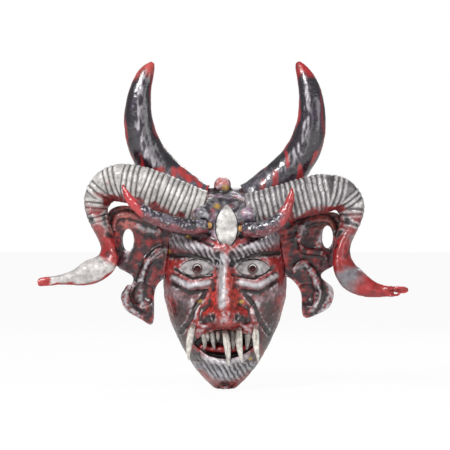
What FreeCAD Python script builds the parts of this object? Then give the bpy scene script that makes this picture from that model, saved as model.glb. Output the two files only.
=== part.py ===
"""A carved wooden devil mask in the Mexican folk tradition, as a parametric FreeCAD document.

The mask is a hollow oval block of light wood, with a face carved on the front. Two upright cow horns, two
twisted ram horns and two small kid horns stand in sockets in it, on wooden cores and pegs. Two carved ears are
tenoned and dowelled into its sides. Bone fangs, shell eyes and a polished forehead stone are set into the face.

Millimetres. +X is the mask's left as a viewer in front sees its right side, +Z is up, and the face looks
towards -Y. The flat back lies in the plane Y = 0, and the origin is the mouth of the hanging hole.
"""
import FreeCAD
import Part
import Sketcher
import math
import os

from FreeCAD import Placement, Rotation, Vector

UP = Vector(0, 0, 1)
BACK = Vector(0, 1, 0)
LEFT, RIGHT = -1, 1
SIDES = (("left", LEFT), ("right", RIGHT))
sign_of = dict(SIDES)

doc = FreeCAD.newDocument("devil_mask")
sheet = doc.addObject("Spreadsheet::Sheet", "sizes")

# ---------------------------------------------------------------- driving dimensions
DRIVING = {
    # the carved block
    "face_width": 155,          # over the temples
    "face_height": 250,         # crown to chin
    "face_depth": 66,           # plain oval, without brow, nose and lips
    "crown_above_hole": 15,     # from the hanging hole up to the crown
    "rim_wall": 12,             # wood left at the sides
    "front_wall": 18,           # wood left behind the face
    "hollow_below_crown": 48,   # solid wood that holds the horns
    "hollow_above_chin": 14,
    # relief of the face, each a rise above the plain oval
    "brow_rise": 15,
    "eye_sink": 7,
    "cheek_rise": 10,
    "nose_length": 90,
    "nose_half_width": 21,
    "nose_rise": 33,
    "nose_wing_rise": 14,
    "lip_rise": 8,
    "chin_rise": 13,
    "horn_boss_rise": 25,
    "nostril_dia": 11,
    "mouth_length": 76,
    "mouth_height": 36,
    "mouth_depth": 24,
    "slit_height": 7,           # breathing slit under the gum
    "slit_length": 50,
    # eyes and stone
    "eye_length": 46,
    "eye_height": 21,
    "eye_thick": 4,             # half thickness in the middle
    "pupil_dia": 8.6,
    "pupil_spacing": 68,
    "stone_length": 57,
    "stone_width": 27,
    "stone_thick": 6,           # half thickness in the middle
    # horns
    "upright_rise": 169,
    "upright_half": 22,         # half thickness at the thickest place, seen from the front
    "ram_left_reach": 201,
    "ram_right_reach": 197,
    "ram_half": 24,
    "kid_rise": 50,
    "kid_half": 9.5,
    "horn_gap": 4,              # air between one horn and the next in front of it
    "back_gap": 1,              # the rearmost horn stays this far off the wall
    "horn_shell": 5,            # wall of a cow or ram horn
    "core_length": 58,          # how far the wooden core reaches into the horn
    "tenon_dia": 14,
    "tenon_length": 18,
    "kid_peg_dia": 8,
    "kid_peg_length": 20,
    "kid_peg_inset": 6,         # how much of the peg is in the wood
    # ears
    "ear_height": 136,
    "ear_reach": 72,
    "ear_thick": 13,
    "ear_tenon": 8,
    "ear_lean": 8,              # degrees that the ear leans back towards the wall
    "ear_hole_height": 28,
    "ear_hole_width": 14,
    "dowel_dia": 5,
    "dowel_length": 16,
    # fangs
    "fang_dia": 8.4,
    "fang_length": 44,
    "tooth_dia": 7,
    "tooth_length": 27,
    "stub_dia": 5,
    "stub_length": 13,
    # fixing
    "hang_hole_dia": 8,
    "hang_hole_depth": 16,
    "tie_hole_dia": 5,
    "tie_hole_inset": 9,        # from the back face
    "fit_gap": 0.25,            # glue gap between a set-in piece and its socket
}
for row, (alias, value) in enumerate(DRIVING.items(), start=1):
    sheet.set(f"A{row}", alias)
    sheet.set(f"B{row}", str(value))
    sheet.setAlias(f"B{row}", alias)
doc.recompute()


def size(alias):
    """A driving dimension, read back from the sheet."""
    return float(sheet.get(alias))


HALF = size("face_width") / 2
DEPTH = size("face_depth")
HEIGHT = size("face_height")
CROWN = size("crown_above_hole")
GAP = size("fit_gap")


def at(across, front, down):
    """A place on the face: shares of its half width, its depth and its height below the crown."""
    return Vector(across * HALF, -front * DEPTH, CROWN - down * HEIGHT)


def named(kind, name):
    made = doc.addObject(kind, name)
    made.Label = name
    return made


def sphere(name, centre, radius):
    """A ball of a radius that is an expression on the sheet."""
    ball = named("Part::Sphere", name)
    ball.setExpression("Radius", radius)
    ball.Placement = Placement(centre, Rotation())
    return ball


def cylinder(name, centre, along, radius, length):
    """A round rod or hole that starts at centre and runs along a direction."""
    rod = named("Part::Cylinder", name)
    rod.setExpression("Radius", radius)
    rod.setExpression("Height", length)
    rod.Placement = Placement(centre, Rotation(UP, along))
    return rod


def box(name, low, high):
    block = named("Part::Box", name)
    block.Length, block.Width, block.Height = high - low
    block.Placement = Placement(low, Rotation())
    return block


def fuse(name, pieces):
    joined = named("Part::MultiFuse", name)
    joined.Shapes = pieces
    return joined


def common(name, pieces):
    kept = named("Part::MultiCommon", name)
    kept.Shapes = pieces
    return kept


def together(name, pieces):
    """One tool of several pieces that do not touch each other, such as a left and a right one."""
    if len(pieces) == 1:
        return pieces[0]
    made = named("Part::Compound", name + "_set")
    made.Links = pieces
    return made


def cut(name, base, pieces):
    made = named("Part::Cut", name)
    made.Base, made.Tool = base, together(name, pieces)
    return made


def add(name, base, pieces):
    made = named("Part::Fuse", name)
    made.Base, made.Tool = base, together(name, pieces)
    return made


# ---------------------------------------------------------------- swept, tapering pieces
class Stations:
    """A drawn centre line with a half thickness at each point, scaled to a named reach and thickness.

    points are (x, y, z, thickness share, roll). Roll 0 keeps the wide side facing the front, and 90 shows the
    narrow side. The first point is the root."""

    def __init__(self, points, root, scale, half, flat):
        first = Vector(*points[0][:3])
        self.centres = [root + (Vector(*p[:3]) - first) * scale for p in points]
        self.shares = [p[3] for p in points]
        self.rolls = [p[4] for p in points]
        self.half = half
        self.flat = flat

    def tangent(self, i):
        before = self.centres[max(i - 1, 0)]
        after = self.centres[min(i + 1, len(self.centres) - 1)]
        return (after - before).normalize()

    def loft(self, name, first=0, last=None, change="0"):
        """A solid through ellipses. change is an expression in mm that is added to each radius."""
        rings = []
        for i in range(first, len(self.centres) if last is None else last):
            along = self.tangent(i)
            level = along.cross(BACK).normalize()
            wide = Rotation(along, self.rolls[i]).multVec(level)
            ring = named("Part::Ellipse", f"{name}_ring_{i}")
            ring.setExpression("MajorRadius", f"{self.half} * {self.shares[i]} + {change}")
            ring.setExpression("MinorRadius", f"{self.half} * {self.shares[i] * self.flat} + {change}")
            ring.Placement = Placement(self.centres[i], Rotation(wide, along.cross(wide), along, "ZXY"))
            rings.append(ring)
        made = named("Part::Loft", name)
        made.Sections, made.Solid, made.Ruled = rings, True, False
        return made


# ---------------------------------------------------------------- the carved block
# shares of height below the crown, of the half width and of the depth: the oval from crown to chin
OVAL = (
    (0.00, 0.34, 0.38),
    (0.05, 0.62, 0.70),
    (0.14, 0.79, 0.90),
    (0.26, 0.92, 1.00),
    (0.40, 1.00, 1.00),
    (0.54, 0.99, 0.97),
    (0.67, 0.88, 0.93),
    (0.79, 0.70, 0.88),
    (0.89, 0.51, 0.76),
    (0.96, 0.32, 0.58),
    (1.00, 0.17, 0.36),
)


def oval_at(down):
    """Half width and depth shares of the block at a share of its height, between the rows of OVAL."""
    for (a, wide_a, deep_a), (b, wide_b, deep_b) in zip(OVAL, OVAL[1:]):
        if a <= down <= b:
            part = (down - a) / (b - a)
            return wide_a + (wide_b - wide_a) * part, deep_a + (deep_b - deep_a) * part
    raise ValueError(f"{down} is not between crown and chin")


# lumps and dips: place across and down the face, half width and half height in mm, rise and tilt in degrees
LUMPS = [
    (0.00, 0.16, 60, 46, 5, 0),                                     # forehead
    (0.00, 0.300, 16, 20, 8, 0),                                    # between the brows
    (0.00, 0.770, 56, 36, 9, 0),                                    # muzzle
    (0.00, 0.625, 14, 13, 8, 0),                                    # tip of the nose
    (0.00, 0.925, 31, 19, size("chin_rise"), 0),
]
for side, sign in SIDES:
    LUMPS += [
        (sign * 0.47, 0.285, 42, 14, size("brow_rise"), sign * 9),
        (sign * 0.44, 0.396, 33, 15, -size("eye_sink"), 0),
        (sign * 0.56, 0.475, 30, 17, size("cheek_rise"), -sign * 8),
        (sign * 0.48, 0.640, 14, 36, 8, -sign * 24),                # fold from the nose to the jaw
        (sign * 0.235, 0.632, 13, 13, size("nose_wing_rise"), 0),
        (sign * 0.44, 0.110, 33, 27, size("horn_boss_rise"), 0),
    ]
# the nose is a wedge of flat planes: share of its length, share of its half width and of its rise
NOSE = ((0.00, 0.32, 0.00), (0.10, 0.36, 0.22), (0.50, 0.68, 0.66), (0.86, 1.00, 1.00), (0.99, 0.80, 0.70), (1.06, 0.60, 0.00))
NOSE_TOP = 0.315       # share of the height below the crown
LIPS = ((0.55, 0.660, 0.735), (0.50, 0.865, 0.795))     # half length, middle and corner of each lip, in shares
LIP_HALF = 10
FADE = 0.06           # the carving dies out towards the flat crown and the chin's lower end


def between(rows, value):
    """The other columns of a table at a value of its first column, in a straight line between its rows."""
    for low, high in zip(rows, rows[1:]):
        if low[0] <= value <= high[0]:
            part = (value - low[0]) / (high[0] - low[0])
            return [a + (b - a) * part for a, b in zip(low[1:], high[1:])]
    return [0] * (len(rows[0]) - 1)


def relief(x, z):
    """How far the carving rises above the plain oval."""
    total = 0
    for across, down, wide, high, rise, tilt in LUMPS:
        dx, dz = x - across * HALF, z - (CROWN - down * HEIGHT)
        turn = math.radians(tilt)
        u = (dx * math.cos(turn) + dz * math.sin(turn)) / wide
        v = (dz * math.cos(turn) - dx * math.sin(turn)) / high
        total += rise * max(0, 1 - u * u - v * v) ** 2
    foot, peak = between(NOSE, (CROWN - NOSE_TOP * HEIGHT - z) / size("nose_length"))
    if foot:
        slope = 1 - abs(x) / (foot * size("nose_half_width"))
        total += peak * size("nose_rise") * max(0, min(1, slope / 0.72))
    for span, middle, corner in LIPS:
        t = x / (span * HALF)
        line = CROWN - (middle + (corner - middle) * t * t) * HEIGHT
        total += size("lip_rise") * max(0, 1 - ((z - line) / LIP_HALF) ** 2) ** 2 * max(0, 1 - t ** 4)
    down = (CROWN - z) / HEIGHT
    return total * max(0, min(1, down / FADE, (1 - down) / FADE))


def surface_depth(across, down):
    """How far in front of the back face the carved face lies, at a place given in shares."""
    wide, deep = oval_at(down)
    plain = deep * DEPTH * math.sqrt(1 - min(abs(across) / wide, 1) ** 2)
    return plain + relief(across * HALF, CROWN - down * HEIGHT)


def half_oval(half, depth, z):
    """A plain level section: half an ellipse in front, closed by a straight line at the back."""
    steps = 12
    points = [
        Vector(half * math.cos(math.pi * (1 + i / steps)), depth * math.sin(math.pi * (1 + i / steps)), z)
        for i in range(steps + 1)
    ]
    points[0].y = points[-1].y = 0
    front = Part.BSplineCurve()
    front.interpolate(Points=points, InitialTangent=BACK * -1, FinalTangent=BACK)
    return Part.Wire([front.toShape(), Part.makeLine(points[-1], points[0])])


def egg(name, levels):
    """A loft upwards through plain half ovals. levels, from the top, are (down, half width, depth)."""
    made = named("Part::Feature", name)
    made.Shape = Part.makeLoft([half_oval(half, deep, CROWN - down * HEIGHT) for down, half, deep in reversed(levels)], True)
    return made


def carved_block(name, levels):
    """The block with its face carved: one smooth surface through a net of points, closed by flat faces."""
    net = []
    for down, half, deep in reversed(levels):
        z = CROWN - down * HEIGHT
        row = []
        for i in range(FACE_STEPS + 1):
            turn = math.pi * (1 + i / FACE_STEPS)
            x = half * math.cos(turn)
            y = deep * math.sin(turn) - relief(x, z) if 0 < i < FACE_STEPS else 0
            row.append(Vector(x, y, z))
        net.append(row)
    front = Part.BSplineSurface()
    front.interpolate(net)
    skin = front.toShape()
    sides = [e for e in skin.Edges if e.BoundBox.YLength < 1e-4]
    levels_cut = [e for e in skin.Edges if e.BoundBox.YLength >= 1e-4]
    faces = [skin]
    chords = []
    for edge in levels_cut:
        first, last = edge.valueAt(edge.FirstParameter), edge.valueAt(edge.LastParameter)
        chords.append(Part.makeLine(last, first))
        faces.append(Part.Face(Part.Wire([edge, chords[-1]])))
    faces.append(Part.Face(Part.Wire(Part.__sortEdges__(sides + chords))))
    shell = Part.makeShell(faces)
    shell.sewShape()
    solid = Part.makeSolid(shell)
    if solid.Volume < 0:
        solid.reverse()
    made = named("Part::Feature", name)
    made.Shape = solid
    return made


def block_levels(grow, steps):
    levels = []
    for i in range(steps + 1):
        wide, deep = oval_at(i / steps)
        levels.append((i / steps, wide * HALF + grow, deep * DEPTH + grow))
    return levels


FACE_LEVELS, FACE_STEPS = 44, 52
block = carved_block("oval_block", block_levels(0, FACE_LEVELS))

hollow_top = size("hollow_below_crown") / HEIGHT
hollow_bottom = 1 - size("hollow_above_chin") / HEIGHT
hollow_levels = []
# the gouged hollow rounds off at its top and bottom
for share, shrink in ((0, 0.5), (0.1, 0.84), (0.3, 1), (0.55, 1), (0.8, 1), (0.94, 0.9), (1, 0.6)):
    down = hollow_top + (hollow_bottom - hollow_top) * share
    wide, deep = oval_at(down)
    hollow_levels.append(
        (down, (wide * HALF - size("rim_wall")) * shrink, (deep * DEPTH - size("front_wall")) * shrink)
    )
hollow = egg("hollow", hollow_levels)
knob = sphere("crown_knob", at(-0.04, 0.40, -0.012), "11")

cuts = {}             # what is cut from the face, in numbered rounds


def keep(number, piece):
    """Puts a cut into a round. The pieces of one round do not touch each other, so they go in one step."""
    cuts.setdefault(number, []).append(piece)


# ---------------------------------------------------------------- horns
# thickness to the wall side decides how far forward each pair stands, so they can never meet
UPRIGHT_FLAT, RAM_FLAT, KID_FLAT = 0.76, 0.62, 0.95
upright_deep = size("upright_half") * UPRIGHT_FLAT
ram_deep = size("ram_half") * RAM_FLAT
upright_y = -(size("back_gap") + upright_deep)
ram_y = upright_y - upright_deep - size("horn_gap") - ram_deep
kid_y = ram_y - ram_deep - 1.75 * size("horn_gap") - size("kid_half")

UPRIGHT = (
    (26, 0, 2, 0.84, 0), (46, 0, 11, 0.96, 0), (66, 0, 25, 1.0, 0), (82, -1, 40, 1.0, 0), (93, -3, 55, 0.97, 0),
    (101, -7, 71, 0.92, 0), (105, -10, 87, 0.86, 0), (107, -12, 103, 0.79, 0), (106.5, -13, 119, 0.71, 0),
    (104, -13, 135, 0.62, 0), (99, -12, 151, 0.49, 0), (93, -10, 163, 0.32, 0), (89, -9, 170, 0.12, 0),
)
RAM_LEFT = (
    (-26, 0, -10, 0.90, 0), (-46, -1, -4, 0.95, 0), (-75, -1, 8, 0.98, 0), (-103, 0, 17, 1.0, 0),
    (-125, 4, 20, 1.0, -8), (-144, 10, 15, 0.93, -26), (-155, 14, 2, 0.86, -46), (-157, 15, -15, 0.79, -64),
    (-151, 14, -34, 0.72, -80), (-143, 11, -53, 0.66, -98), (-142, 5, -70, 0.65, -128), (-155, -3, -85, 0.65, -164),
    (-180, -10, -95, 0.44, -180), (-206, -16, -99, 0.24, -180), (-227, -20, -104, 0.06, -180),
)
RAM_RIGHT = (
    (28, 0, -14, 0.88, 0), (50, -1, -10, 0.94, 0), (78, -1, -3, 0.98, 0), (104, 0, 4, 1.0, 0),
    (127, 4, 8, 1.0, 8), (145, 9, 4, 0.94, 26), (155, 13, -8, 0.87, 46), (156, 14, -24, 0.79, 64),
    (150, 13, -42, 0.71, 80), (145, 9, -60, 0.67, 98), (146, 4, -78, 0.68, 128), (155, -2, -95, 0.67, 160),
    (173, -8, -107, 0.52, 178), (197, -14, -112, 0.30, 180), (225, -19, -111, 0.06, 180),
)
KID_LEFT = (
    (-18, 16, -33, 0.90, 0), (-38, 7, -34, 1.0, 0), (-60, 3, -30, 0.98, 0), (-82, 0, -22, 0.90, 0),
    (-99, 0, -11, 0.76, 0), (-110, 1, 1, 0.52, 0), (-117, 3, 16, 0.12, 0),
)
KID_RIGHT = (
    (20, 16, -36, 0.90, 0), (39, 7, -37, 1.0, 0), (57, 3, -33, 1.0, 0), (72, 0, -24, 0.93, 0),
    (82, 0, -10, 0.80, 0), (89, 1, 6, 0.56, 0), (92, 3, 26, 0.12, 0),
)


def mirrored(points):
    return tuple((-x, y, z, share, -roll) for x, y, z, share, roll in points)


def rise(points):
    return max(p[2] for p in points) - points[0][2]


def reach(points):
    return abs(points[-1][0] - points[0][0])


horns = {}
for side, sign in SIDES:
    drawn = UPRIGHT if sign == RIGHT else mirrored(UPRIGHT)
    root = Vector(sign * 0.335 * HALF, upright_y, CROWN - 0.052 * HEIGHT)
    horns["upright", side] = Stations(
        drawn, root, size("upright_rise") / rise(drawn), "sizes.upright_half", UPRIGHT_FLAT
    )
    drawn = RAM_RIGHT if sign == RIGHT else RAM_LEFT
    root = Vector(sign * 0.35 * HALF, ram_y, CROWN - (0.116 if sign == RIGHT else 0.10) * HEIGHT)
    scale = size(f"ram_{side}_reach") / reach(drawn)
    horns["ram", side] = Stations(drawn, root, scale, "sizes.ram_half", RAM_FLAT)
    drawn = KID_RIGHT if sign == RIGHT else KID_LEFT
    root = Vector(sign * 0.30 * HALF, kid_y + 16, CROWN - (0.204 if sign == RIGHT else 0.188) * HEIGHT)
    horns["kid", side] = Stations(drawn, root, size("kid_rise") / rise(drawn), "sizes.kid_half", KID_FLAT)

SOCKET_ROUND = {"upright": 1, "ram": 2, "kid": 3}
HOLLOW_RINGS = {"upright": 9, "ram": 8}

for (kind, side), horn in horns.items():
    root, inward = horn.centres[0], horn.tangent(0) * -1
    keep(SOCKET_ROUND[kind], horn.loft(f"{kind}_socket_{side}", change="sizes.fit_gap"))
    if kind == "kid":
        peg_start = root + inward * size("kid_peg_inset")
        peg = cylinder(
            f"kid_peg_{side}", peg_start, inward * -1, "sizes.kid_peg_dia / 2 - sizes.fit_gap", "sizes.kid_peg_length"
        )
        hole = cylinder(
            f"kid_peg_hole_{side}", peg_start, inward * -1, "sizes.kid_peg_dia / 2",
            "sizes.kid_peg_length + sizes.fit_gap",
        )
        keep(5, hole)
        cut(f"kid_horn_{side}", horn.loft(f"kid_body_{side}"), [hole])
        continue
    tenon_end = root + inward * size("tenon_length")
    tenon = cylinder(
        f"{kind}_tenon_{side}", tenon_end, inward * -1, "sizes.tenon_dia / 2 - sizes.fit_gap",
        "sizes.tenon_length + 4",
    )
    tenon_hole = cylinder(
        f"{kind}_tenon_hole_{side}", tenon_end + inward * GAP, inward * -1, "sizes.tenon_dia / 2",
        "sizes.tenon_length + 2",
    )
    keep(SOCKET_ROUND[kind] + 2, tenon_hole)
    filling = horn.loft(f"{kind}_filling_{side}", last=HOLLOW_RINGS[kind], change="-sizes.horn_shell - sizes.fit_gap")
    near_root = sphere(f"{kind}_core_end_{side}", root, "sizes.core_length")
    add(f"{kind}_core_{side}", common(f"{kind}_plug_{side}", [filling, near_root]), [tenon])
    cavity = horn.loft(f"{kind}_cavity_{side}", last=HOLLOW_RINGS[kind], change="-sizes.horn_shell")
    cut(f"{kind}_horn_{side}", horn.loft(f"{kind}_body_{side}"), [cavity])

# ---------------------------------------------------------------- eyes and stone
def almond_block(name, length, height, thick, grow, placement):
    """A block with an almond outline: two equal arcs that meet in two corners, padded both ways. The three
    sizes are aliases on the sheet, and grow is an expression in mm that is added all round."""
    body = named("PartDesign::Body", name)
    plane = next(f for f in body.Origin.OriginFeatures if f.Role == "XZ_Plane")
    outline = body.newObject("Sketcher::SketchObject", name + "_outline")
    outline.AttachmentSupport = [(plane, "")]
    outline.MapMode = "FlatFace"
    half, high = size(length) / 2, size(height) / 2
    radius = (half ** 2 + high ** 2) / (2 * high)
    swing = math.asin(half / radius)
    upper = Part.Circle(Vector(0, high - radius, 0), UP, radius)
    lower = Part.Circle(Vector(0, radius - high, 0), UP, radius)
    outline.addGeometry(Part.ArcOfCircle(upper, math.pi / 2 - swing, math.pi / 2 + swing), False)
    outline.addGeometry(Part.ArcOfCircle(lower, -math.pi / 2 - swing, -math.pi / 2 + swing), False)
    for fact in (
        ("Coincident", 0, 1, 1, 2),
        ("Coincident", 0, 2, 1, 1),
        ("Symmetric", 0, 1, 0, 2, -1, 1),
        ("Equal", 0, 1),
        ("Horizontal", 0, 1, 0, 2),
    ):
        outline.addConstraint(Sketcher.Constraint(*fact))
    long_side = outline.addConstraint(Sketcher.Constraint("DistanceX", 0, 2, 0, 1, 2 * half))
    round_side = outline.addConstraint(Sketcher.Constraint("Radius", 0, radius))
    full_length = f"(sizes.{length} + 2 * {grow})"
    full_height = f"(sizes.{height} + 2 * {grow})"
    outline.setExpression(f"Constraints[{long_side}]", full_length)
    outline.setExpression(
        f"Constraints[{round_side}]", f"({full_length} ^ 2 + {full_height} ^ 2) / (4 * {full_height})"
    )
    pad = body.newObject("PartDesign::Pad", name + "_pad")
    pad.Profile = outline
    pad.Midplane = True
    pad.setExpression("Length", f"2 * sizes.{thick} + 2 * {grow}")
    body.Placement = placement
    return body


def cabochon(name, length, height, thick, placement):
    """An almond block with its front domed by a large ball, so that its corners are a third as thick."""
    blank = almond_block(name + "_block", length, height, thick, "0", placement)
    half, drop = size(length) / 2, 1.35 * size(thick)
    radius = (half ** 2 + drop ** 2) / (2 * drop)
    ball = sphere(
        name + "_dome", placement.multVec(Vector(0, radius - size(thick), 0)),
        f"(sizes.{length} ^ 2 / 4 + (1.35 * sizes.{thick}) ^ 2) / (2.7 * sizes.{thick})",
    )
    return common(name, [blank, ball])


EYE_DOWN = 0.396
EYE_TURN = 17         # degrees that each eye turns outwards with the curve of the face
for side, sign in SIDES:
    across = sign * size("pupil_spacing") / 2
    seat = Vector(across, -surface_depth(across / HALF, EYE_DOWN), CROWN - EYE_DOWN * HEIGHT)
    placement = Placement(seat, Rotation(UP, sign * EYE_TURN))
    blank = cabochon(f"eye_blank_{side}", "eye_length", "eye_height", "eye_thick", placement)
    room = almond_block(f"eye_recess_{side}", "eye_length", "eye_height", "eye_thick", "sizes.fit_gap", placement)
    pupil = cylinder(
        f"pupil_{side}", Vector(across, 5, seat.z), BACK * -1, "sizes.pupil_dia / 2", "sizes.face_depth + 40"
    )
    cut(f"eye_{side}", blank, [pupil])
    keep(1, room)
    keep(3, pupil)

STONE_DOWN = 0.196
STONE_ACROSS = 0.026
stone_seat = Placement(
    Vector(STONE_ACROSS * HALF, -surface_depth(STONE_ACROSS, STONE_DOWN), CROWN - STONE_DOWN * HEIGHT), Rotation(BACK, 90)
)
cabochon("forehead_stone", "stone_length", "stone_width", "stone_thick", stone_seat)
keep(1, almond_block("stone_recess", "stone_length", "stone_width", "stone_thick", "sizes.fit_gap", stone_seat))

# ---------------------------------------------------------------- mouth, lips and fangs
MOUTH_DOWN = 0.768
mouth_seat = Vector(0, -surface_depth(0, MOUTH_DOWN), CROWN - MOUTH_DOWN * HEIGHT)
mouth = almond_block(
    "mouth_hollow", "mouth_length", "mouth_height", "mouth_depth", "0", Placement(mouth_seat, Rotation())
)
slit_half = Vector(size("slit_length") / 2, 30, size("slit_height") / 2)
slit_middle = mouth_seat + Vector(0, size("mouth_depth") + 10, 4)
slit = box("breathing_slit", slit_middle - slit_half, slit_middle + slit_half)
gum_line = []
for i in range(7):
    t = i / 3 - 1
    gum_line.append((
        0.40 * HALF * t, mouth_seat.y + size("mouth_depth") - 1.5 - 2 * (1 - t * t), CROWN - (0.800 - 0.018 * t * t) * HEIGHT,
        1 - 0.5 * abs(t) ** 3, 0,
    ))
gum = Stations(gum_line, Vector(*gum_line[0][:3]), 1, "5", 0.98).loft("lower_gum")


def fang(row, name, across, down, lean, bow, stand, half, length):
    """A curved tooth that hangs from its socket in the lip. lean is how far its tip stands to the side, bow how
    far its middle does, and stand how far its root stands in front of the carved lip."""
    root = Vector(across * HALF, -surface_depth(across, down) - stand, CROWN - down * HEIGHT)
    long = size(length)
    drawn = []
    for share_down, share in ((0, 0.84), (0.18, 0.96), (0.38, 1), (0.58, 0.88), (0.78, 0.64), (0.93, 0.36), (1, 0.14)):
        side = lean * share_down + bow * math.sin(math.pi * share_down)
        drawn.append((side, -3 * math.sin(math.pi * share_down), -long * share_down, share, 0))
    tooth = Stations(drawn, root, 1, half, 0.86)
    tooth.loft(name)
    keep(row, tooth.loft(name + "_socket", change="sizes.fit_gap"))


# name, place across and down the face, lean, bow, stand in front of the oval
FRONT_FANGS = (
    ("front_fang_outer_left", -0.50, 0.672, -6, -2, 0),
    ("front_fang_inner_left", -0.01, 0.700, 5, 1.5, -2),
    ("front_fang_inner_right", 0.22, 0.686, 4, -1.5, -2),
    ("front_fang_outer_right", 0.48, 0.682, 4, -1, 0),
)
BACK_FANGS = (
    ("back_fang_outer_left", -0.36, 0.690, 2, 2, -12),
    ("back_fang_inner_left", -0.20, 0.690, 3, -1, -12),
    ("back_fang_inner_right", 0.105, 0.690, 2, 1, -12),
    ("back_fang_outer_right", 0.35, 0.690, -1, 1, -12),
)
for name, across, down, lean, bow, stand in FRONT_FANGS:
    fang(1, name, across, down, lean, bow, stand, "sizes.fang_dia / 2", "fang_length")
for name, across, down, lean, bow, stand in BACK_FANGS:
    fang(2, name, across, down, lean, bow, stand, "sizes.tooth_dia / 2", "tooth_length")
fang(3, "small_tooth_left", -0.285, 0.705, 1, 0, -4, "sizes.stub_dia / 2", "stub_length")
fang(3, "small_tooth_right", -0.11, 0.705, 0, 0, -4, "sizes.stub_dia / 2", "stub_length")

# ---------------------------------------------------------------- ears
EAR_Y = -14           # middle of the ear's thickness where it leaves the face
EAR_DRAWN = (136, 70)  # height and reach of the outlines below
EAR_LEFT = (
    (-66, -34), (-84, -22), (-104, -12), (-126, -7), (-142, -14), (-146, -30), (-145, -50), (-141, -68),
    (-133, -82), (-121, -90), (-113, -97), (-116, -106), (-126, -114), (-127, -126), (-118, -140), (-104, -148),
    (-91, -155), (-88, -142), (-88, -124), (-86, -110), (-79, -100), (-66, -92),
)
EAR_RIGHT = (
    (66, -32), (84, -24), (104, -18), (124, -15), (141, -19), (145, -34), (144, -52), (140, -69),
    (133, -82), (123, -88), (118, -94), (123, -101), (132, -110), (133, -122), (127, -134), (114, -142),
    (98, -146), (95, -132), (94, -116), (86, -102), (78, -96), (66, -92),
)
EAR_HOLE = {"left": (-119, -50), "right": (126, -46)}
# raised ridges of each ear: x, y, z, share of ridge_half, roll
RIDGE_LEFT = (
    ((-78, 0, -60, 0.8, 0), (-93, 0, -72, 1, 0), (-102, 0, -92, 1, 0), (-105, 0, -115, 1, 0), (-100, 0, -134, 0.5, 0)),
    ((-84, 0, -32, 0.7, 0), (-106, 0, -22, 1, 0), (-130, 0, -20, 0.9, 0), (-136, 0, -38, 0.6, 0)),
    ((-117, 0, -106, 0.6, 0), (-121, 0, -120, 0.9, 0), (-113, 0, -135, 0.9, 0), (-96, 0, -144, 0.5, 0)),
)
RIDGE_RIGHT = (
    ((84, 0, -88, 0.7, 0), (99, 0, -80, 1, 0), (109, 0, -92, 1, 0), (115, 0, -112, 1, 0), (110, 0, -133, 0.6, 0)),
    ((84, 0, -33, 0.7, 0), (104, 0, -27, 1, 0), (126, 0, -25, 0.9, 0), (135, 0, -40, 0.6, 0)),
    ((92, 0, -48, 0.6, 0), (103, 0, -64, 1, 0), (118, 0, -66, 0.9, 0), (124, 0, -74, 0.5, 0)),
)
RIDGE_HALF = 5

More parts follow.
